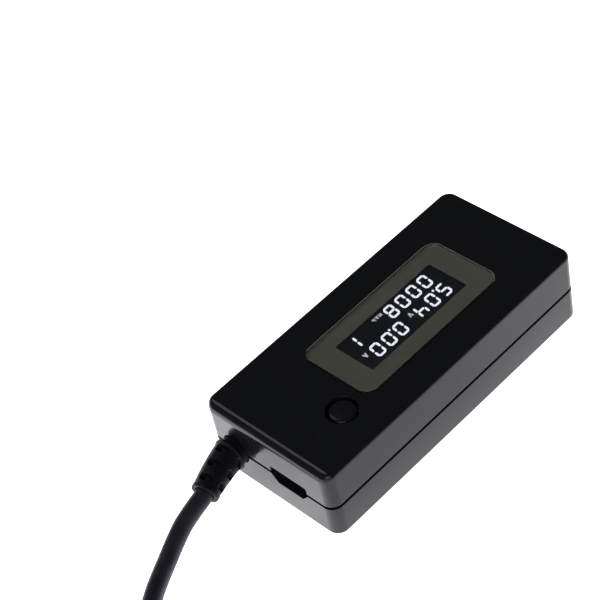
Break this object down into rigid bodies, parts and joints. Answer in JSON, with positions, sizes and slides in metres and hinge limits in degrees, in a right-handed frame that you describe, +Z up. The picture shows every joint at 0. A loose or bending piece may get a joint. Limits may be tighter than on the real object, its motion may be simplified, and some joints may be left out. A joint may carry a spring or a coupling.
{
  "type": "usb power meter",
  "caption": "Slim inline power meter: rounded black case, display window, push button, output socket, micro input slot and short captive cord with a plug.",
  "frame": {"origin": "middle of the case's underside, on the surface that the meter rests on, measured without the cord and its plug", "axes": "+X along the case from the corded end to the output socket, +Y across the case towards the cord's side, +Z up through the display"},
  "size_m": [0.1019, 0.0942, 0.0148],
  "materials": {
    "case_black": "semi-gloss moulded plastic with a fine grain",
    "button_black": "semi-gloss moulded plastic",
    "window_clear": "clear polished plastic with a printed olive-grey border behind",
    "display_glass": "polished",
    "polariser_dark": "dark blue-black film",
    "backlight_white": "milky diffusing plastic",
    "zebra_pink": "layered silicone",
    "board_green": "solder-masked fibreglass",
    "chip_black": "moulded epoxy",
    "resistor_dark": "glazed ceramic",
    "capacitor_tan": "ceramic",
    "steel_bright": "bright nickel-plated steel",
    "shell_plated": "stamped nickel-plated steel",
    "contact_gold": "gold-flashed contact",
    "socket_white": "moulded",
    "socket_black": "moulded",
    "wire_red": "extruded insulation",
    "wire_black": "extruded insulation",
    "wire_green": "extruded insulation",
    "wire_white": "extruded insulation",
    "cord_black": "satin flexible vinyl"
  },
  "bodies": {
    "housing": {"top_cover": "case_black", "bottom_cover": "case_black", "display_window": "window_clear", "front_polariser": "polariser_dark", "front_glass": "display_glass", "rear_glass": "display_glass", "rear_polariser": "polariser_dark", "backlight_panel": "backlight_white", "backlight_lamp": "backlight_white", "zebra_strip": "zebra_pink", "main_board": "board_green", "controller_chip": "chip_black", "amplifier_chip": "chip_black", "memory_chip": "chip_black", "voltage_regulator": "chip_black", "shunt_resistor": "resistor_dark", "input_capacitor": "capacitor_tan", "output_capacitor": "capacitor_tan", "supply_capacitor": "capacitor_tan", "crystal": "steel_bright", "board_screw_1": "steel_bright", "board_screw_2": "steel_bright", "switch_base": "socket_black", "switch_plate": "steel_bright", "switch_dome": "steel_bright", "output_socket_shell": "shell_plated", "output_socket_tongue": "socket_white", "output_contact_1": "contact_gold", "output_contact_2": "contact_gold", "output_contact_3": "contact_gold", "output_contact_4": "contact_gold", "micro_socket_shell": "shell_plated", "micro_socket_tongue": "socket_black", "micro_contact_1": "contact_gold", "micro_contact_2": "contact_gold", "micro_contact_3": "contact_gold", "micro_contact_4": "contact_gold", "micro_contact_5": "contact_gold", "strain_relief": "cord_black", "red_wire": "wire_red", "black_wire": "wire_black", "green_wire": "wire_green", "white_wire": "wire_white", "cable_jacket": "cord_black", "plug_grip": "cord_black", "plug_shell": "shell_plated", "plug_insulator": "socket_white", "plug_contact_1": "contact_gold", "plug_contact_2": "contact_gold", "plug_contact_3": "contact_gold", "plug_contact_4": "contact_gold"},
    "button": {"button_cap": "button_black", "switch_plunger": "socket_black"}
  },
  "joints": [
    {"name": "button_press", "type": "slide", "parent": "housing", "child": "button", "axis": [0, 0, -1], "range_m": [0, 0.0003], "stiffness_N_per_m": 2000, "deforming": ["switch_dome"]}
  ]
}
